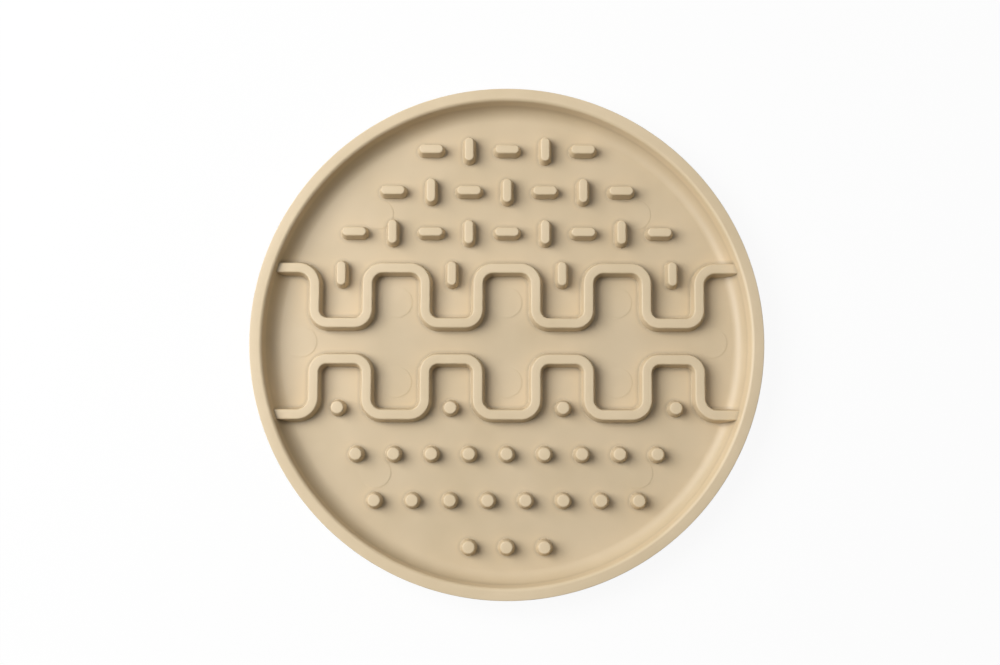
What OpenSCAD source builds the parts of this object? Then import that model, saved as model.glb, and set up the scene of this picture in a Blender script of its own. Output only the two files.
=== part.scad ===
// Round lick mat: a shallow tray moulded in one soft silicone, with two square-wave ribs,
// rows of bars above them and rows of studs below them, on twelve suction cups.
// The origin is the middle of the plane that the suction cups stand on, +Z is up, and the
// bars lie on the +Y side. Lengths are in millimetres and angles in degrees.

/* [Mat] */
// Outer diameter of the mat
mat_d = 200; // [170:5:240]
// Thickness of the floor
floor_t = 2.5; // [1.5:0.1:4]
// Radius of the floor's outer bottom edge
floor_edge_r = 1; // [0.3:0.1:1.2]

/* [Rim] */
// Height of the rim above the floor
rim_h = 9; // [7:0.5:14]
// Width of the rim's top, from its inner corner to its outside
rim_top_w = 4.7; // [3.5:0.1:7]
// Lean of the rim's inner wall
rim_draft = 14; // [8:1:28]
// Radius between the floor and the rim's inner wall
rim_foot_r = 5.4; // [2:0.1:6]
// Radius of the rim's inner top edge
rim_edge_r = 1.5; // [0.5:0.1:1.6]
// Radius of the rim's outer top edge
rim_lip_r = 0.3; // [0.2:0.1:1]

/* [Raised pattern] */
// Height of the ribs, bars and studs above the floor
relief_h = 5.5; // [3:0.1:6.5]
// Lean of their walls
relief_draft = 9; // [3:1:14]
// Radius of their top edges
relief_edge_r = 0.6; // [0.3:0.05:0.7]
// Radius between their walls and the floor
relief_foot_r = 0.3; // [0.1:0.05:0.6]
// Least gap between the rim's foot and a bar or stud
relief_gap = 2; // [1:0.5:5]

/* [Wave ribs] */
// Width of a rib where it stands on the floor
rib_w = 5.5; // [5:0.1:6.5]
// Length of one wave
wave_pitch = 43.35; // [40:0.05:50]
// Distance between the two upright runs of a hill
hill_w = 22.65; // [20:0.05:24]
// Distance from the mat's middle line to the ribs' inner runs
wave_inner_y = 7.1; // [6:0.1:10]
// Distance from the mat's middle line to the ribs' outer runs
wave_outer_y = 28.8; // [26:0.2:34]
// Corner radius of the inner runs, on the rib's centre line
inner_bend_r = 5.2; // [4.5:0.1:6]
// Corner radius of the outer runs, on the rib's centre line
outer_bend_r = 6; // [4.5:0.1:7]
// Corner radius where a rib turns towards the rim, on its centre line
end_bend_r = 6.6; // [4.5:0.1:8]

/* [Bars] */
// Length of a bar where it stands on the floor
bar_l = 11.1; // [8:0.1:12]
// Width of a bar where it stands on the floor
bar_w = 5.2; // [5:0.1:6.4]
// Distance between neighbouring bars of a row
bar_pitch = 15.05; // [13:0.05:20]
// Distance between rows of bars
bar_row_pitch = 16.6; // [15:0.1:19]
// Distance from the upper rib's outer runs to the first row of bars
bar_row_start = 14.5; // [12:0.1:18]

/* [Studs] */
// Diameter of a stud where it stands on the floor
stud_d = 6.6; // [5.2:0.1:8]
// Distance between neighbouring studs of a row
stud_pitch = 14.65; // [12:0.05:20]
// Distance between rows of studs
stud_row_pitch = 17.95; // [14:0.05:20]
// Distance from the lower rib's outer runs to the first row of studs
stud_row_start = 15.2; // [12:0.1:18]
// How much farther apart the studs under the lower rib's arches are than the arches
arch_stud_spread = 0.6; // [0:0.1:1]

/* [Suction cups] */
// Height of the cups below the floor
cup_h = 3; // [2:0.1:4]
// Diameter of the middle of a cup's wall where it leaves the floor
cup_root_d = 12; // [9:0.5:14]
// Thickness of a cup's wall where it leaves the floor
cup_wall = 1.2; // [0.8:0.1:1.6]
// Thickness of a cup's lip at its outer edge
cup_lip_t = 0.6; // [0.4:0.1:0.8]
// Distance from the mat's middle line to the cups between the ribs' runs
cup_row_y = 15.8; // [13:0.1:20]
// Distance from the mat's outside to the middle of a cup at the side
cup_side_inset = 19.2; // [16:0.2:22]
// Distance from the mat's outside to the middle of a cup on a diagonal
cup_diagonal_inset = 27.7; // [24:0.1:34]

/* [Hidden] */
BAR_ROWS = 3;
STUD_ROWS = 3;
CUPS = 12;

silicone = "#D8C4A0";
$fn = 64;
round_fn = 240;
// How far a cutting shape runs past what it cuts
overrun = 1;
// How far a wall's rounded edge and its fillet swell past the flat wall between them, so that each
// meets it at one clear line
swell = 0.002;

mat_r = mat_d / 2;
floor_z = cup_h + floor_t;

// Width of the rim on the floor without its fillet, and the radius of the flat floor inside it
rim_base_w = rim_top_w + rim_h * tan(rim_draft);
tray_r = mat_r - toe(rim_base_w, rim_draft, rim_foot_r);

// Upright runs of the ribs lie at whole waves, half a hill to each side
outer_run_half = sqrt(pow(tray_r, 2) - pow(wave_outer_y, 2));
valleys = floor((outer_run_half - end_bend_r + hill_w / 2) / wave_pitch);
last_upright_x = valleys * wave_pitch - hill_w / 2;
valley_w = wave_pitch - hill_w;
wave_depth = wave_outer_y - wave_inner_y;
// How far two legs of a rib lap over the middle of their run
run_lap = 0.5;
// Where a rib ends, with its centre line under the middle of the rim's top
rib_end_x = sqrt(pow(mat_r - rim_top_w / 2, 2) - pow(wave_outer_y, 2));
valley_xs = [for (i = [0.5 - valleys:valleys - 0.5]) i * wave_pitch];
hill_xs = [for (i = [1 - valleys:valleys - 1]) i * wave_pitch];

first_bar_y = wave_outer_y + bar_row_start;
first_stud_y = wave_outer_y + stud_row_start;

// Where each suction cup stands
side_cup_r = mat_r - cup_side_inset;
diagonal_cup_r = mat_r - cup_diagonal_inset;
cup_places = concat(
    [for (y = [cup_row_y, -cup_row_y], x = [-wave_pitch, 0, wave_pitch]) [x, y]],
    [for (a = [45:90:315]) diagonal_cup_r * [cos(a), sin(a)]],
    [[-side_cup_r, 0], [side_cup_r, 0]]
);

// Distance from a wall's back to the outer end of its foot fillet
function toe(base, draft, foot_r) = base + foot_r * (1 - sin(draft)) / cos(draft);

// Distance of the farthest point of a round end at a place, from the mat's middle
function reach(x, y, r) = norm([x, y]) + r;

// True where a bar or stud end of radius r stands clear of the rim's foot
function stands(x, y, r) = reach(abs(x), abs(y), r) <= tray_r - relief_gap;

// Section of a moulded wall of height h: it leans by draft from a foot that lies base away
// from its back, with a rounded top edge and a fillet at the floor
module wall_section(base, h, draft, edge_r, foot_r) {
    facing = [cos(draft), sin(draft)];
    edge = [base - (edge_r + (h - edge_r) * sin(draft)) / cos(draft), h - edge_r];
    foot = [toe(base, draft, foot_r), foot_r];
    difference() {
        union() {
            polygon([
                [0, 0], [foot.x, 0], foot - (foot_r - swell) * facing,
                edge + (edge_r - swell) * facing, [edge.x, h], [0, h]
            ]);
            translate(edge) circle(edge_r);
        }
        translate(foot) circle(foot_r);
    }
}

// Half of the section that the ribs, bars and studs share
module relief_section(w) {
    wall_section(w / 2, relief_h, relief_draft, relief_edge_r, relief_foot_r);
}

// A straight stretch of relief along +X, from x = 0
module relief_run(l, w) {
    rotate([90, 0, 90]) linear_extrude(l) {
        relief_section(w);
        mirror([1, 0]) relief_section(w);
    }
}

// A bend of relief about the origin, from angle 0, with its centre line at radius r
module relief_bend(r, w) {
    rotate_extrude(angle = 90) translate([r, 0]) {
        relief_section(w);
        mirror([1, 0]) relief_section(w);
    }
}

// One corner of a rib, where its centre lines cross at [x, y]: a bend, with a straight leg
// towards side_x and one towards side_y. Each leg laps over the middle of its run, which is
// half_run away along X and half a wave's depth away along Y
module rib_corner(x, y, side_x, side_y, half_run, r) {
    bend = [x + side_x * r, y + side_y * r];
    translate(bend) rotate(atan2(-side_y, -side_x) - 45) relief_bend(r, rib_w);
    translate([bend.x, y]) rotate(side_x > 0 ? 0 : 180) relief_run(half_run - r + run_lap, rib_w);
    translate([x, bend.y]) rotate(90 * side_y) relief_run(wave_depth / 2 - r + run_lap, rib_w);
}

// One square-wave rib on the +Y side, from rim to rim
module wave_rib() {
    color(silicone) translate([0, 0, floor_z])
        for (side = [-1, 1]) {
            for (x = hill_xs)
                rib_corner(x + side * hill_w / 2, wave_outer_y, -side, -1, hill_w / 2, outer_bend_r);
            for (x = valley_xs)
                rib_corner(x + side * valley_w / 2, wave_inner_y, -side, 1, valley_w / 2, inner_bend_r);
        }
    color(silicone) for (side = [0, 1])
        mirror([side, 0, 0]) difference() {
            translate([0, 0, floor_z])
                rib_corner(last_upright_x, wave_outer_y, 1, -1,
                    rib_end_x - run_lap - last_upright_x, end_bend_r);
            rim();
        }
}

// A bar with round ends, lying along X, or along Y when upright
module bar(x, y, upright) {
    run = bar_l - bar_w;
    translate([x, y, floor_z]) rotate(upright ? 90 : 0) {
        translate([-run / 2, 0]) relief_run(run, bar_w);
        for (turn = [0, 180])
            rotate(turn) translate([run / 2, 0]) rotate(-90)
                rotate_extrude(angle = 180) relief_section(bar_w);
    }
}

// Every second bar of a row is upright, in turn with the rows beside it
module bar_row(i) {
    y = first_bar_y + (i - 1) * bar_row_pitch;
    places = ceil(tray_r / bar_pitch);
    color(silicone) for (k = [-places:places]) {
        upright = (abs(k) + i) % 2 == 0;
        end = (bar_l - bar_w) / 2;
        if (stands(abs(k * bar_pitch) + (upright ? 0 : end), y + (upright ? end : 0), bar_w / 2))
            bar(k * bar_pitch, y, upright);
    }
}

// One upright bar in each valley of the upper rib
module wave_bars() {
    color(silicone) for (x = valley_xs) bar(x, first_bar_y - bar_row_pitch, true);
}

// A round stud
module stud(x, y) {
    translate([x, y, floor_z]) rotate_extrude() relief_section(stud_d);
}

// Each row of studs is staggered by half a pitch against the last
module stud_row(i) {
    y = first_stud_y + (i - 1) * stud_row_pitch;
    places = ceil(tray_r / stud_pitch);
    stagger = (i - 1) % 2 / 2;
    color(silicone) for (k = [-places:places])
        if (stands((k + stagger) * stud_pitch, y, stud_d / 2)) stud((k + stagger) * stud_pitch, -y);
}

// One stud under each arch of the lower rib
module wave_studs() {
    color(silicone) for (x = valley_xs)
        stud(x * (1 + arch_stud_spread / wave_pitch), stud_row_pitch - first_stud_y);
}

// The flat floor, which runs out to the mat's edge under the rim
module floor_disc() {
    color(silicone) translate([0, 0, cup_h]) rotate_extrude($fn = round_fn) {
        translate([0, floor_edge_r]) square([mat_r, floor_t - floor_edge_r]);
        square([mat_r - floor_edge_r, floor_edge_r]);
        translate([mat_r - floor_edge_r, floor_edge_r]) circle(floor_edge_r);
    }
}

// The raised ring round the floor
module rim() {
    color(silicone) translate([0, 0, floor_z]) rotate_extrude($fn = round_fn)
        difference() {
            translate([mat_r, 0]) mirror([1, 0])
                wall_section(rim_base_w, rim_h, rim_draft, rim_edge_r, rim_foot_r);
            translate([mat_r - rim_lip_r, rim_h - rim_lip_r]) difference() {
                square(rim_lip_r + overrun);
                circle(rim_lip_r);
            }
        }
}

// A suction cup: a skirt that flares from a ring under the floor to a thin flat lip
module suction_cup(place) {
    flare_r = cup_h - cup_lip_t;
    lip_r = (cup_root_d + cup_wall) / 2 + flare_r;
    color(silicone) translate([place.x, place.y]) rotate_extrude() intersection() {
        translate([lip_r, cup_h]) difference() {
            circle(flare_r + cup_wall);
            circle(flare_r);
        }
        square([lip_r, cup_h]);
    }
}

floor_disc();
rim();
wave_rib();  // upper_wave_rib
mirror([0, 1, 0]) wave_rib();  // lower_wave_rib
wave_bars();
for (i = [1:BAR_ROWS])
    bar_row(i);
wave_studs();
for (i = [1:STUD_ROWS])
    stud_row(i);
for (i = [1:CUPS])
    suction_cup(cup_places[i - 1]);
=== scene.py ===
"""A round lick mat, moulded in one soft sand-beige silicone, seen from above on white."""

import math

import bmesh
import bpy
from mathutils import Matrix, Vector
from mathutils.geometry import delaunay_2d_cdt


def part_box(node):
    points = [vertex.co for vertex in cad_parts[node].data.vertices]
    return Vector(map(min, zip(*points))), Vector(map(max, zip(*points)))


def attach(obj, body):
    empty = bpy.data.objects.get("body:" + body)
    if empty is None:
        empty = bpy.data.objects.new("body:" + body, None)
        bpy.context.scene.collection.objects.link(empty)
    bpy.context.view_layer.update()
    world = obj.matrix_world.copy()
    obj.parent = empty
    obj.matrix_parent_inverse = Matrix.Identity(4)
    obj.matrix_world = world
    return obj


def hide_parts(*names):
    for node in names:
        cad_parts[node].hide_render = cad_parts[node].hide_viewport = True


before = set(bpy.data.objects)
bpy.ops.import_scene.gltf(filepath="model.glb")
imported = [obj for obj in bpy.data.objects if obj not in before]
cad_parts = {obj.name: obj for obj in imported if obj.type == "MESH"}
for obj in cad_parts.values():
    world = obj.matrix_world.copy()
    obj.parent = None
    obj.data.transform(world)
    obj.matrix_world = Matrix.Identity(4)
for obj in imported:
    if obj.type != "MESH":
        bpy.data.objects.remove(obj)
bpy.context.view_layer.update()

MM = 0.001

# Heights, the outside and the suction cups, from the frame
MAT_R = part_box("rim")[1].x
LIP_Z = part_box("suction_cup_1")[0].z
FLOOR_UNDER_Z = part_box("floor_disc")[0].z
FLOOR_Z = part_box("floor_disc")[1].z
RELIEF_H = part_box("wave_bars")[1].z - FLOOR_Z
RIM_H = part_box("rim")[1].z - FLOOR_Z
CUPS = sorted((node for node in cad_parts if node.startswith("suction_cup_")), key=len)

# The floor's outer bottom edge, and the rim's section
FLOOR_EDGE_R = 1.0 * MM
RIM_TOP_W = 4.7 * MM
RIM_DRAFT = math.radians(14)
RIM_FOOT_R = 5.4 * MM
RIM_EDGE_R = 1.5 * MM
RIM_LIP_R = 0.3 * MM

# The section that ribs, bars and studs share
RELIEF_DRAFT = math.radians(9)
RELIEF_EDGE_R = 0.6 * MM
RELIEF_FOOT_R = 0.3 * MM
RIB_W = 5.5 * MM
BAR_L = 11.1 * MM
BAR_W = 5.2 * MM
STUD_D = 6.6 * MM

# The square wave of the ribs. The bends nearest the rim have a radius of their own
WAVE_PITCH = 43.35 * MM
HILL_W = 22.65 * MM
WAVE_COUNT = 4
INNER_BEND_R = 5.2 * MM
OUTER_BEND_R = 6.0 * MM
END_BEND_R = 6.6 * MM

# Rows of bars and studs, and how much wider than the arches the studs under them are spaced
BAR_PITCH = 15.05 * MM
STUD_PITCH = 14.65 * MM
BAR_ROWS = {"bar_row_1": 9, "bar_row_2": 7, "bar_row_3": 5}
STUD_ROWS = {"stud_row_1": 9, "stud_row_2": 8, "stud_row_3": 3}
ARCH_STUD_SPREAD = 0.6 * MM

# A suction cup's wall, where it leaves the floor and at its lip
CUP_WALL = 1.2 * MM
CUP_LIP_T = 0.6 * MM

# Faint marks in the floor: over each suction cup a disc that its mould pin left a hair proud on
# one side, with a fine step round it, and near the middle the gate's spot. The turn from the X
# axis says which side is proud
PIN_R = 6.0 * MM
PIN_STEP_W = 0.36 * MM
PIN_PROUD = 0.16 * MM
PIN_PROUD_TURN = math.radians(-20)
GATE_PLACE = (3.0 * MM, -0.1 * MM)
GATE_R = 2.1 * MM
GATE_H = 0.05 * MM
# How far apart the points between the marks are, and how far they keep from a pin's step
FLOOR_SPACING = 8 * MM
CLEAR_OF_STEP = 1 * MM

# How far what stands on the floor reaches down into it, so that no gap shows at its foot
ROOT = 0.3 * MM

# Clouds of pigment, and a grain of 0.1 mm that is drawn coarser so that it shows
PIGMENT_CLOUD = 30 * MM
GRAIN = 0.625 * MM
GRAIN_DEPTH = 0.05 * MM
# Painted light: how much paler the raised tops are painted than the rest, and from what share of the
# relief's height
PAINTED_TOP_LIGHT = 1.14
PAINTED_LIGHT_FROM = 0.75
# How far from a corner the painted shade reaches, how open a square corner is to the air, and how dark
# the painted shade makes the silicone there
PAINTED_SHADE_REACH = 1.8 * MM
CORNER_OPEN = 0.5
PAINTED_SHADE_DEPTH = 0.68

# The table's width in metres, and the share of plain white in what the camera sees of it
TABLE_W = 6.0
WHITE_SHARE = 0.93

# Into how many steps each round form is cut
ROUND_STEPS = 240
CUP_STEPS = 96
GATE_STEPS = 24
NIB_END_STEPS = 24
BEND_STEPS = 20
RIM_ARC_STEPS = 20
ARC_STEPS = 8

# Points nearer to each other than this are one point, and edges sharper than this stay sharp
TOUCHING = 0.001 * MM
SHARP_EDGE = math.radians(40)


def linear(hex_colour):
    """An sRGB hex colour as linear red, green, blue and alpha."""
    parts = [int(hex_colour[i : i + 2], 16) / 255 for i in (1, 3, 5)]
    return [p / 12.92 if p <= 0.04045 else ((p + 0.055) / 1.055) ** 2.4 for p in parts] + [1.0]


def add_node(tree, kind, inputs=None, **settings):
    """Adds a node with its settings, and gives each named input a value or the socket that feeds it."""
    node = tree.nodes.new(kind)
    for name, value in settings.items():
        setattr(node, name, value)
    for key, value in (inputs or {}).items():
        if isinstance(value, bpy.types.NodeSocket):
            tree.links.new(value, node.inputs[key])
        else:
            node.inputs[key].default_value = value
    return node


def moulded_silicone():
    """Liquid silicone rubber from a fine-blasted mould: matte, with cloudy pigment, a soft grain, painted
    light on its tops and painted shade in its corners.
    """
    material = bpy.data.materials.new("moulded silicone")
    material.use_nodes = True
    tree = material.node_tree
    tree.nodes.clear()
    place = add_node(tree, "ShaderNodeTexCoord").outputs["Object"]
    clouds = add_node(
        tree,
        "ShaderNodeTexNoise",
        {"Vector": place, "Scale": 1 / PIGMENT_CLOUD, "Detail": 3.0, "Roughness": 0.6},
    )
    tint = add_node(tree, "ShaderNodeValToRGB", {"Fac": clouds.outputs["Fac"]})
    tint.color_ramp.elements[0].position = 0.3
    tint.color_ramp.elements[0].color = linear("#D2BE9C")
    tint.color_ramp.elements[1].position = 0.7
    tint.color_ramp.elements[1].color = linear("#D9C5A4")
    # Painted light: the colour turns paler towards the tops of what stands up, so that they look more
    # brightly lit
    height = add_node(tree, "ShaderNodeSeparateXYZ", {"Vector": place}).outputs["Z"]
    painted_top_light = add_node(
        tree,
        "ShaderNodeMapRange",
        {
            "Value": height,
            "From Min": FLOOR_Z + PAINTED_LIGHT_FROM * RELIEF_H,
            "From Max": FLOOR_Z + RELIEF_H,
            "To Min": 1.0,
            "To Max": PAINTED_TOP_LIGHT,
        },
    )
    # Painted shade: the colour darkens in corners and creases, where less light reaches
    corner = add_node(tree, "ShaderNodeAmbientOcclusion", {"Distance": PAINTED_SHADE_REACH}, samples=8)
    painted_corner_shade = add_node(
        tree,
        "ShaderNodeMapRange",
        {
            "Value": corner.outputs["AO"],
            "From Min": CORNER_OPEN,
            "From Max": 1.0,
            "To Min": PAINTED_SHADE_DEPTH,
            "To Max": 1.0,
        },
        clamp=False,
    )
    shade = add_node(
        tree,
        "ShaderNodeMath",
        {0: painted_top_light.outputs["Result"], 1: painted_corner_shade.outputs["Result"]},
        operation="MULTIPLY",
    )
    colour = add_node(
        tree,
        "ShaderNodeVectorMath",
        {"Vector": tint.outputs["Color"], "Scale": shade.outputs[0]},
        operation="SCALE",
    )
    grain = add_node(
        tree, "ShaderNodeTexNoise", {"Vector": place, "Scale": 1 / GRAIN, "Detail": 2.0, "Roughness": 0.5}
    )
    relief = add_node(
        tree, "ShaderNodeBump", {"Height": grain.outputs["Fac"], "Strength": 0.12, "Distance": GRAIN_DEPTH}
    )
    matte = add_node(
        tree,
        "ShaderNodeMapRange",
        {"Value": clouds.outputs["Fac"], "From Min": 0.3, "From Max": 0.7, "To Min": 0.4, "To Max": 0.5},
    )
    shader = add_node(
        tree,
        "ShaderNodeBsdfPrincipled",
        {
            "Base Color": colour.outputs["Vector"],
            "Roughness": matte.outputs["Result"],
            "Normal": relief.outputs["Normal"],
            "IOR": 1.41,
            "Specular IOR Level": 0.8,
        },
    )
    add_node(tree, "ShaderNodeOutputMaterial", {"Surface": shader.outputs["BSDF"]})
    return material


SILICONE = moulded_silicone()


def new_piece(name, mesh):
    """A mesh as an object of the scene, smooth except at its sharp edges."""
    piece = bpy.data.objects.new(name, mesh)
    bpy.context.scene.collection.objects.link(piece)
    mesh.shade_smooth()
    mesh.set_sharp_from_angle(angle=SHARP_EDGE)
    return piece


def on_frame(piece, *nodes):
    """Puts a finished piece on the one body of the mat, in the place of its CAD nodes."""
    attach(piece, "root")
    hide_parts(*nodes)


def middle(node):
    """The middle of a node, seen from above."""
    low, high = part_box(node)
    return Vector(((low.x + high.x) / 2, (low.y + high.y) / 2))


def arc(centre, radius, start, end, steps=ARC_STEPS):
    """Points on an arc in a section, from one angle to another, both ends included."""
    angles = [start + (end - start) * i / steps for i in range(steps + 1)]
    return [(centre[0] + radius * math.cos(a), centre[1] + radius * math.sin(a)) for a in angles]


def foot_reach(draft, foot_r):
    """How far the fillet at the foot of a leaning wall reaches out from it."""
    return foot_r * (1 - math.sin(draft)) / math.cos(draft)


def moulded_wall(base, height, draft, edge_r, foot_r, steps=ARC_STEPS):
    """The face of a leaning wall, as points (distance from the wall's back, height): from its
    root in the floor up a foot fillet and over a rounded top edge."""
    toe = base + foot_reach(draft, foot_r)
    edge = base - (edge_r + (height - edge_r) * math.sin(draft)) / math.cos(draft)
    foot = arc((toe, foot_r), foot_r, -math.pi / 2, draft - math.pi, steps)
    top = arc((edge, height - edge_r), edge_r, draft, math.pi / 2, steps)
    return [(toe, -ROOT)] + foot + top


def revolve(name, outline, centre=(0, 0), steps=ROUND_STEPS):
    """A closed mesh from an outline of points (radius, height), turned about an upright axis.
    An outline that starts or ends on the axis is closed there by a point."""
    made = bmesh.new()
    turns = [2 * math.pi * i / steps for i in range(steps)]
    rings = []
    for radius, z in outline:
        if radius < TOUCHING:
            ring = [(centre[0], centre[1], z)]
        else:
            ring = [(centre[0] + radius * math.cos(t), centre[1] + radius * math.sin(t), z) for t in turns]
        rings.append([made.verts.new(point) for point in ring])
    on_axis = len(rings[0]) == 1 or len(rings[-1]) == 1
    pairs = list(zip(rings, rings[1:])) + ([] if on_axis else [(rings[-1], rings[0])])
    for low, high in pairs:
        for i in range(steps):
            j = (i + 1) % steps
            corners = [low[i % len(low)], low[j % len(low)], high[j % len(high)], high[i % len(high)]]
            made.faces.new(list(dict.fromkeys(corners)))
    bmesh.ops.recalc_face_normals(made, faces=made.faces)
    mesh = bpy.data.meshes.new(name)
    made.to_mesh(mesh)
    made.free()
    return mesh


def rim_mesh():
    """The raised ring round the floor."""
    base = RIM_TOP_W + RIM_H * math.tan(RIM_DRAFT)
    inner = moulded_wall(base, RIM_H, RIM_DRAFT, RIM_EDGE_R, RIM_FOOT_R, RIM_ARC_STEPS)
    lip = arc((RIM_LIP_R, RIM_H - RIM_LIP_R), RIM_LIP_R, math.pi / 2, math.pi)
    outline = [(MAT_R - x, FLOOR_Z + z) for x, z in inner + lip + [(0, 0)]]
    return revolve("rim", outline)


def suction_cup_mesh(name, node):
    """A thin skirt that flares from a ring under the floor to a flat lip."""
    low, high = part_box(node)
    lip_r = (high.x - low.x) / 2
    top = FLOOR_UNDER_Z
    flare_r = top - LIP_Z - CUP_LIP_T
    outer = arc((lip_r, top), flare_r, math.pi, 1.5 * math.pi)
    inner_r = flare_r + CUP_WALL
    meets_ground = math.asin((top - LIP_Z) / inner_r)
    inner = arc((lip_r, top), inner_r, math.pi + meets_ground, math.pi)
    return revolve(name, outer + [(lip_r, LIP_Z)] + inner, middle(node), CUP_STEPS)


def floor_points(pins, gate):
    """Points on the floor's top, and the edges that join them into the marks' rings."""
    loops = [(Vector((0, 0)), MAT_R, ROUND_STEPS)]
    for pin in pins:
        # Two rings make the step, and one on each side of it keeps its shading narrow
        loops += [(pin, PIN_R + PIN_STEP_W * s, CUP_STEPS) for s in (-1, -0.5, 0.5, 1)]
    loops += [(gate, GATE_R * s, GATE_STEPS) for s in (0.4, 0.7, 1)]
    points, edges = [], []
    for centre, radius, steps in loops:
        first = len(points)
        for i in range(steps):
            turn = 2 * math.pi * i / steps
            points.append(centre + radius * Vector((math.cos(turn), math.sin(turn))))
            edges.append((first + i, first + (i + 1) % steps))
    # Points between the marks keep the triangles even
    reach = int(MAT_R / FLOOR_SPACING) + 1
    for i in range(-reach, reach + 1):
        for j in range(-reach, reach + 1):
            point = Vector(((i + j % 2 / 2) * FLOOR_SPACING, j * FLOOR_SPACING))
            off_pins = all(abs((point - pin).length - PIN_R) > CLEAR_OF_STEP for pin in pins)
            off_gate = (point - gate).length > 2 * GATE_R
            if point.length < MAT_R - FLOOR_SPACING / 2 and off_pins and off_gate:
                points.append(point)
    return points, edges


def floor_height(point, pins, gate):
    """How high the floor's top is at a point: flat but for the faint marks."""
    z = FLOOR_Z
    proud_side = Vector((math.cos(PIN_PROUD_TURN), math.sin(PIN_PROUD_TURN)))
    for pin in pins:
        out = point - pin
        if out.length < PIN_R:
            z += PIN_PROUD * (1 + out.dot(proud_side) / PIN_R) / 2
    off = (point - gate).length / GATE_R
    if off < 1:
        z += GATE_H * (1 + math.cos(math.pi * off)) / 2
    return z


def floor_mesh():
    """The floor: a flat disc with a rounded bottom edge and faint marks in its top."""
    pins = [middle(cup) for cup in CUPS]
    gate = Vector(GATE_PLACE)
    points, edges = floor_points(pins, gate)
    flat, _, triangles, *_ = delaunay_2d_cdt(points, edges, [], 1, TOUCHING)
    made = bmesh.new()
    top = [made.verts.new((p.x, p.y, floor_height(p, pins, gate))) for p in flat]
    for triangle in triangles:
        made.faces.new([top[i] for i in triangle])
    under = arc((MAT_R - FLOOR_EDGE_R, FLOOR_UNDER_Z + FLOOR_EDGE_R), FLOOR_EDGE_R, 0, -math.pi / 2)
    side = revolve("side", [(MAT_R, FLOOR_Z)] + under + [(0, FLOOR_UNDER_Z)])
    made.from_mesh(side)
    bmesh.ops.remove_doubles(made, verts=made.verts, dist=TOUCHING)
    bmesh.ops.recalc_face_normals(made, faces=made.faces)
    mesh = bpy.data.meshes.new("floor_disc")
    made.to_mesh(mesh)
    made.free()
    return mesh


def nib_form(name, width, run):
    """A bar with round ends and a straight middle of length run, or a stud where run is nothing,
    standing on the origin."""
    outline = moulded_wall(width / 2, RELIEF_H, RELIEF_DRAFT, RELIEF_EDGE_R, RELIEF_FOOT_R)
    made = bmesh.new()
    rings = []
    for offset, z in outline:
        ring = []
        for end in (1, -1):
            for i in range(NIB_END_STEPS + 1):
                turn = math.pi * (i / NIB_END_STEPS - end / 2)
                x = end * run / 2 + offset * math.cos(turn)
                ring.append(made.verts.new((x, offset * math.sin(turn), z)))
        rings.append(ring)
    count = len(rings[0])
    for low, high in zip(rings, rings[1:]):
        for i in range(count):
            j = (i + 1) % count
            made.faces.new((low[i], low[j], high[j], high[i]))
    made.faces.new(rings[-1])
    made.faces.new(rings[0][::-1])
    bmesh.ops.remove_doubles(made, verts=made.verts, dist=TOUCHING)
    bmesh.ops.recalc_face_normals(made, faces=made.faces)
    mesh = bpy.data.meshes.new(name)
    made.to_mesh(mesh)
    made.free()
    return bpy.data.objects.new(name, mesh)


def rib_section(name, width):
    """The outline of a rib's section across, as a closed loop of edges in the XY plane."""
    side = moulded_wall(width / 2, RELIEF_H, RELIEF_DRAFT, RELIEF_EDGE_R, RELIEF_FOOT_R)
    points = side + [(-x, z) for x, z in reversed(side)]
    count = len(points)
    mesh = bpy.data.meshes.new(name)
    mesh.from_pydata([(x, -z, 0) for x, z in points], [(i, (i + 1) % count) for i in range(count)], [])
    return bpy.data.objects.new(name, mesh)


def new_tree(name, sockets):
    """An empty Geometry Nodes tree with a geometry output, and the sockets of its named inputs."""
    tree = bpy.data.node_groups.new(name, "GeometryNodeTree")
    tree.interface.new_socket("Geometry", in_out="OUTPUT", socket_type="NodeSocketGeometry")
    for socket_name, kind in sockets.items():
        tree.interface.new_socket(socket_name, in_out="INPUT", socket_type=kind)
    return tree, add_node(tree, "NodeGroupInput").outputs


def finish_tree(tree, geometry, material):
    """Ends a tree with real faces of one material."""
    real = add_node(tree, "GeometryNodeRealizeInstances", {"Geometry": geometry})
    dressed = add_node(
        tree, "GeometryNodeSetMaterial", {"Geometry": real.outputs["Geometry"], "Material": material}
    )
    add_node(tree, "NodeGroupOutput", {"Geometry": dressed.outputs["Geometry"]})


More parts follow.
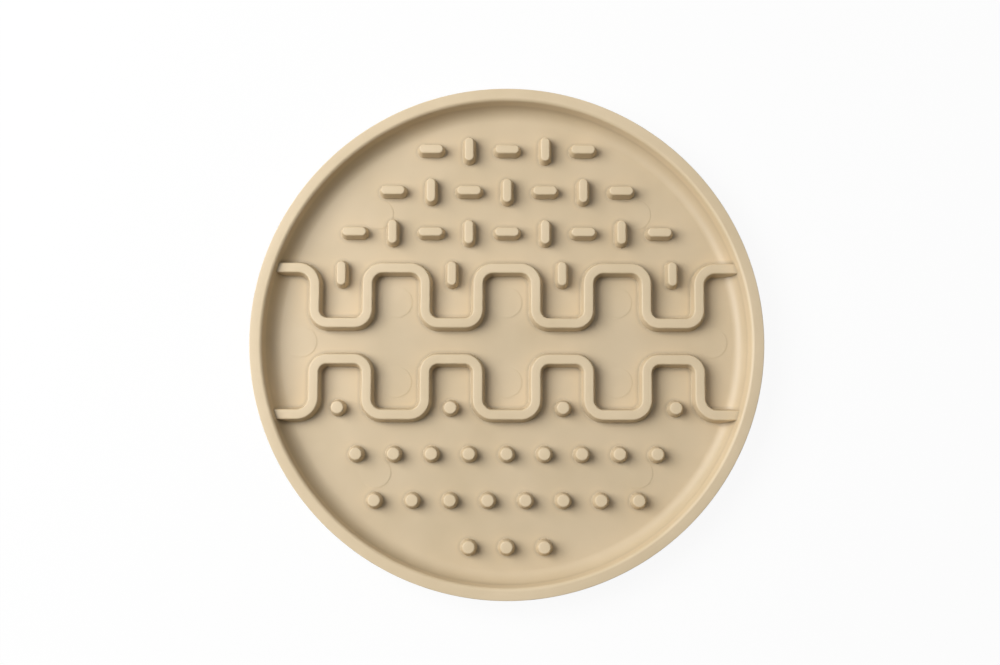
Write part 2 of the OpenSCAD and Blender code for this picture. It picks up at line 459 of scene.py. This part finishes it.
def row_tree():
    """Copies of one form along X. Every so many of them is turned a quarter."""
    tree, given = new_tree(
        "row of nibs",
        {
            "Form": "NodeSocketObject",
            "Count": "NodeSocketInt",
            "Pitch": "NodeSocketFloat",
            "Middle": "NodeSocketVector",
            "Turned every": "NodeSocketInt",
            "Material": "NodeSocketMaterial",
        },
    )
    gaps = add_node(tree, "ShaderNodeMath", {0: given["Count"], 1: 1.0}, operation="SUBTRACT")
    length = add_node(tree, "ShaderNodeMath", {0: gaps.outputs[0], 1: given["Pitch"]}, operation="MULTIPLY")
    back = add_node(tree, "ShaderNodeMath", {0: length.outputs[0], 1: -0.5}, operation="MULTIPLY")
    back_along_x = add_node(tree, "ShaderNodeCombineXYZ", {"X": back.outputs[0]})
    start = add_node(
        tree, "ShaderNodeVectorMath", {0: given["Middle"], 1: back_along_x.outputs[0]}, operation="ADD"
    )
    step = add_node(tree, "ShaderNodeCombineXYZ", {"X": given["Pitch"]})
    line = add_node(
        tree,
        "GeometryNodeMeshLine",
        {"Count": given["Count"], "Start Location": start.outputs[0], "Offset": step.outputs[0]},
    )
    index = add_node(tree, "GeometryNodeInputIndex")
    place = add_node(tree, "ShaderNodeMath", {0: index.outputs[0], 1: 1.0}, operation="ADD")
    left_over = add_node(
        tree, "ShaderNodeMath", {0: place.outputs[0], 1: given["Turned every"]}, operation="MODULO"
    )
    turned = add_node(tree, "ShaderNodeMath", {0: left_over.outputs[0], 1: 0.5}, operation="LESS_THAN")
    angle = add_node(tree, "ShaderNodeMath", {0: turned.outputs[0], 1: math.pi / 2}, operation="MULTIPLY")
    turn = add_node(tree, "ShaderNodeCombineXYZ", {"Z": angle.outputs[0]})
    form = add_node(tree, "GeometryNodeObjectInfo", {"Object": given["Form"]})
    copies = add_node(
        tree,
        "GeometryNodeInstanceOnPoints",
        {"Points": line.outputs["Mesh"], "Instance": form.outputs["Geometry"], "Rotation": turn.outputs[0]},
    )
    finish_tree(tree, copies.outputs["Instances"], given["Material"])
    return tree


def rib_tree():
    """A square wave from rim to rim, with round corners, swept by one moulded section."""
    tree, given = new_tree(
        "wave rib",
        {
            "Section": "NodeSocketObject",
            "Waves": "NodeSocketInt",
            "Pitch": "NodeSocketFloat",
            "Hill width": "NodeSocketFloat",
            "Inner Y": "NodeSocketFloat",
            "Outer Y": "NodeSocketFloat",
            "End X": "NodeSocketFloat",
            "Inner bend": "NodeSocketFloat",
            "Outer bend": "NodeSocketFloat",
            "End bend": "NodeSocketFloat",
            "Bend steps": "NodeSocketInt",
            "Z": "NodeSocketFloat",
            "Material": "NodeSocketMaterial",
        },
    )
    position = add_node(tree, "GeometryNodeInputPosition")
    at = add_node(tree, "ShaderNodeSeparateXYZ", {0: position.outputs[0]}).outputs
    index = add_node(tree, "GeometryNodeInputIndex")
    found = {socket.name: socket for socket in given}
    found |= {"index": index.outputs[0], "at x": at["X"], "at y": at["Y"]}
    # Each of these is worked out from the inputs and from those above it
    sums = {
        # Two corners on each upright, and one point in the rim at each end
        "count": ("MULTIPLY_ADD", "Waves", 4.0, 2.0),
        # Each wave has two uprights, a valley's width apart
        "upright so far": ("MULTIPLY_ADD", "index", 0.5, -0.5),
        "upright": ("FLOOR", "upright so far"),
        "wave so far": ("MULTIPLY", "upright", 0.5),
        "wave": ("FLOOR", "wave so far"),
        "is second": ("FLOORED_MODULO", "upright", 2.0),
        "valley width": ("SUBTRACT", "Pitch", "Hill width"),
        "in wave": ("MULTIPLY", "is second", "valley width"),
        "along": ("MULTIPLY_ADD", "wave", "Pitch", "in wave"),
        # The first and last uprights stand equally far out, and past them the rib ends in the rim
        "all waves": ("MULTIPLY", "Waves", "Pitch"),
        "first to last": ("SUBTRACT", "all waves", "Hill width"),
        "last x": ("MULTIPLY", "first to last", 0.5),
        "upright x": ("SUBTRACT", "along", "last x"),
        "left end": ("MULTIPLY", "End X", -1.0),
        "kept from left": ("MAXIMUM", "upright x", "left end"),
        "x": ("MINIMUM", "kept from left", "End X"),
        # Two points away from the middle of the mat, then two near it, and so on
        "pair so far": ("MULTIPLY", "index", 0.5),
        "pair": ("FLOOR", "pair so far"),
        "is inner": ("FLOORED_MODULO", "pair", 2.0),
        "depth": ("SUBTRACT", "Inner Y", "Outer Y"),
        "y": ("MULTIPLY_ADD", "is inner", "depth", "Outer Y"),
        # The bends have one radius near the middle, one away from it, and one at the last uprights
        "both y": ("ADD", "Inner Y", "Outer Y"),
        "half way": ("MULTIPLY", "both y", 0.5),
        "half way out": ("ABSOLUTE", "half way"),
        "y out": ("ABSOLUTE", "at y"),
        "near middle": ("LESS_THAN", "y out", "half way out"),
        "part of hill": ("MULTIPLY", "Hill width", 0.25),
        "before last": ("SUBTRACT", "last x", "part of hill"),
        "x out": ("ABSOLUTE", "at x"),
        "near end": ("GREATER_THAN", "x out", "before last"),
        "end change": ("SUBTRACT", "End bend", "Outer bend"),
        "bend outside": ("MULTIPLY_ADD", "near end", "end change", "Outer bend"),
        "inner change": ("SUBTRACT", "Inner bend", "bend outside"),
        "bend": ("MULTIPLY_ADD", "near middle", "inner change", "bend outside"),
    }
    for name, (operation, *values) in sums.items():
        inputs = {i: found.get(value, value) for i, value in enumerate(values)}
        found[name] = add_node(tree, "ShaderNodeMath", inputs, operation=operation).outputs[0]

    place = add_node(tree, "ShaderNodeCombineXYZ", {"X": found["x"], "Y": found["y"], "Z": given["Z"]})
    line = add_node(tree, "GeometryNodeMeshLine", {"Count": found["count"]})
    corners = add_node(
        tree,
        "GeometryNodeSetPosition",
        {"Geometry": line.outputs["Mesh"], "Position": place.outputs[0]},
    )
    path = add_node(tree, "GeometryNodeMeshToCurve", {"Mesh": corners.outputs["Geometry"]})
    rounded = add_node(
        tree,
        "GeometryNodeFilletCurve",
        {"Curve": path.outputs["Curve"], "Radius": found["bend"], "Count": given["Bend steps"]},
        mode="POLY",
    )
    upward = add_node(
        tree, "GeometryNodeSetCurveNormal", {"Curve": rounded.outputs["Curve"]}, mode="Z_UP"
    )
    section = add_node(tree, "GeometryNodeObjectInfo", {"Object": given["Section"]})
    profile = add_node(tree, "GeometryNodeMeshToCurve", {"Mesh": section.outputs["Geometry"]})
    swept = add_node(
        tree,
        "GeometryNodeCurveToMesh",
        {"Curve": upward.outputs["Curve"], "Profile Curve": profile.outputs["Curve"], "Fill Caps": True},
    )
    finish_tree(tree, swept.outputs["Mesh"], given["Material"])
    return tree


def run_tree(name, tree, inputs):
    """Runs a tree with its inputs set, and gives the result as a piece with a plain mesh."""
    holder = bpy.data.objects.new(name, bpy.data.meshes.new(name))
    bpy.context.scene.collection.objects.link(holder)
    modifier = holder.modifiers.new("form", "NODES")
    modifier.node_group = tree
    sockets = {s.name: s.identifier for s in tree.interface.items_tree if s.in_out == "INPUT"}
    for key, value in inputs.items():
        modifier[sockets[key]] = value
    depsgraph = bpy.context.evaluated_depsgraph_get()
    depsgraph.update()
    mesh = bpy.data.meshes.new_from_object(holder.evaluated_get(depsgraph))
    bpy.data.objects.remove(holder)
    made = bmesh.new()
    made.from_mesh(mesh)
    bmesh.ops.recalc_face_normals(made, faces=made.faces)
    made.to_mesh(mesh)
    made.free()
    return new_piece(name, mesh)


def make_tray():
    """The floor, the rim round it and the suction cups under it."""
    turned = [("moulded_floor", floor_mesh(), "floor_disc"), ("moulded_rim", rim_mesh(), "rim")]
    turned += [(f"flared_{cup}", suction_cup_mesh(f"flared_{cup}", cup), cup) for cup in CUPS]
    for name, mesh, node in turned:
        mesh.materials.append(SILICONE)
        on_frame(new_piece(name, mesh), node)


def make_ribs():
    """The two ribs, mirror images of each other. Their ends lie inside the rim."""
    half_foot = RIB_W / 2 + foot_reach(RELIEF_DRAFT, RELIEF_FOOT_R)
    low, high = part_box("upper_wave_rib")
    inner_y = low.y + half_foot
    outer_y = high.y - half_foot
    tree = rib_tree()
    section = rib_section("rib section", RIB_W)
    for side, node in ((1, "upper_wave_rib"), (-1, "lower_wave_rib")):
        inputs = {
            "Section": section,
            "Waves": WAVE_COUNT,
            "Pitch": WAVE_PITCH,
            "Hill width": HILL_W,
            "Inner Y": side * inner_y,
            "Outer Y": side * outer_y,
            "End X": math.sqrt((MAT_R - RIM_TOP_W / 2) ** 2 - outer_y**2),
            "Inner bend": INNER_BEND_R,
            "Outer bend": OUTER_BEND_R,
            "End bend": END_BEND_R,
            "Bend steps": BEND_STEPS,
            "Z": FLOOR_Z,
            "Material": SILICONE,
        }
        on_frame(run_tree(f"swept_{node}", tree, inputs), node)


def make_nibs():
    """The rows of bars and studs, and those that stand in the ribs' valleys and arches."""
    tree = row_tree()
    bar = nib_form("bar form", BAR_W, BAR_L - BAR_W)
    stud = nib_form("stud form", STUD_D, 0)
    # In a row every second bar is upright, and in the valleys each one is
    rows = [(node, bar, count, BAR_PITCH, 2) for node, count in BAR_ROWS.items()]
    rows += [(node, stud, count, STUD_PITCH, 2) for node, count in STUD_ROWS.items()]
    rows.append(("wave_bars", bar, WAVE_COUNT, WAVE_PITCH, 1))
    rows.append(("wave_studs", stud, WAVE_COUNT, WAVE_PITCH + ARCH_STUD_SPREAD, 1))
    for node, form, count, pitch, turned_every in rows:
        inputs = {
            "Form": form,
            "Count": count,
            "Pitch": pitch,
            "Middle": (*middle(node), FLOOR_Z),
            "Turned every": turned_every,
            "Material": SILICONE,
        }
        on_frame(run_tree(f"moulded_{node}", tree, inputs), node)


def white_paper():
    """Matt paper in strong light: the camera sees mostly plain white, with a trace of the shadow."""
    material = bpy.data.materials.new("white paper")
    material.use_nodes = True
    tree = material.node_tree
    tree.nodes.clear()
    paper = add_node(tree, "ShaderNodeBsdfDiffuse", {"Color": linear("#F4F4F4")})
    white = add_node(tree, "ShaderNodeEmission", {"Color": linear("#FFFFFF"), "Strength": 1.0})
    path = add_node(tree, "ShaderNodeLightPath").outputs
    seen = add_node(
        tree, "ShaderNodeMath", {0: path["Is Camera Ray"], 1: path["Is Glossy Ray"]}, operation="MAXIMUM"
    )
    plain = add_node(tree, "ShaderNodeMath", {0: seen.outputs[0], 1: WHITE_SHARE}, operation="MULTIPLY")
    surface = add_node(
        tree,
        "ShaderNodeMixShader",
        {0: plain.outputs[0], 1: paper.outputs["BSDF"], 2: white.outputs["Emission"]},
    )
    add_node(tree, "ShaderNodeOutputMaterial", {"Surface": surface.outputs["Shader"]})
    return material


def make_backdrop():
    """A table under white paper."""
    corners = [(x * TABLE_W / 2, y * TABLE_W / 2, 0) for x, y in ((-1, -1), (1, -1), (1, 1), (-1, 1))]
    mesh = bpy.data.meshes.new("table")
    mesh.from_pydata(corners, [], [(0, 1, 2, 3)])
    mesh.materials.append(white_paper())
    table = bpy.data.objects.new("table", mesh)
    bpy.context.scene.collection.objects.link(table)


def make_lamp(name, azimuth, elevation, distance, size, energy):
    """A square soft lamp that looks at the mat's middle. Angles are in degrees, and the rest in
    metres and watts."""
    data = bpy.data.lights.new(name, "AREA")
    data.shape = "SQUARE"
    data.size = size
    data.energy = energy
    lamp = bpy.data.objects.new(name, data)
    turn = math.radians(azimuth)
    rise = math.radians(elevation)
    way = Vector((math.cos(turn) * math.cos(rise), math.sin(turn) * math.cos(rise), math.sin(rise)))
    lamp.location = way * distance
    lamp.rotation_euler = way.to_track_quat("Z", "Y").to_euler()
    bpy.context.scene.collection.objects.link(lamp)


def make_lights():
    """One large soft window from the left, a weak reflector across from it, and a dim white room."""
    make_lamp("window", azimuth=166, elevation=48, distance=1.1, size=0.8, energy=14.0)
    make_lamp("reflector", azimuth=45, elevation=60, distance=1.2, size=1.4, energy=3.1)
    world = bpy.data.worlds.new("white room")
    bpy.context.scene.world = world
    world.use_nodes = True
    tree = world.node_tree
    tree.nodes.clear()
    # The camera sees the room white, and the mat gets only a little light from it
    path = add_node(tree, "ShaderNodeLightPath").outputs
    strength = add_node(
        tree,
        "ShaderNodeMapRange",
        {"Value": path["Is Camera Ray"], "To Min": 0.02, "To Max": 1.0},
    )
    light = add_node(
        tree, "ShaderNodeBackground", {"Color": linear("#FFFFFF"), "Strength": strength.outputs["Result"]}
    )
    add_node(tree, "ShaderNodeOutputWorld", {"Surface": light.outputs["Background"]})


def make_camera():
    """The photograph's view: 0.6 m away and almost straight down, from a little below the middle."""
    data = bpy.data.cameras.new("camera")
    data.sensor_width = 36.0
    data.lens = 54.78
    camera = bpy.data.objects.new("camera", data)
    aim = Vector((-2.69 * MM, 3.95 * MM, FLOOR_Z))
    away = Vector((0, 0, 600 * MM))
    tilt = Matrix.Rotation(math.radians(6.32), 3, "X")
    sideways = Matrix.Rotation(math.radians(-0.34), 3, "Y")
    roll = Matrix.Rotation(math.radians(0.14), 3, "Z")
    turn = sideways @ tilt @ roll
    camera.matrix_world = Matrix.Translation(aim + turn @ away) @ turn.to_4x4()
    bpy.context.scene.collection.objects.link(camera)
    bpy.context.scene.camera = camera


make_tray()
make_ribs()
make_nibs()
make_backdrop()
make_lights()
make_camera()
bpy.context.scene.view_settings.view_transform = "Standard"
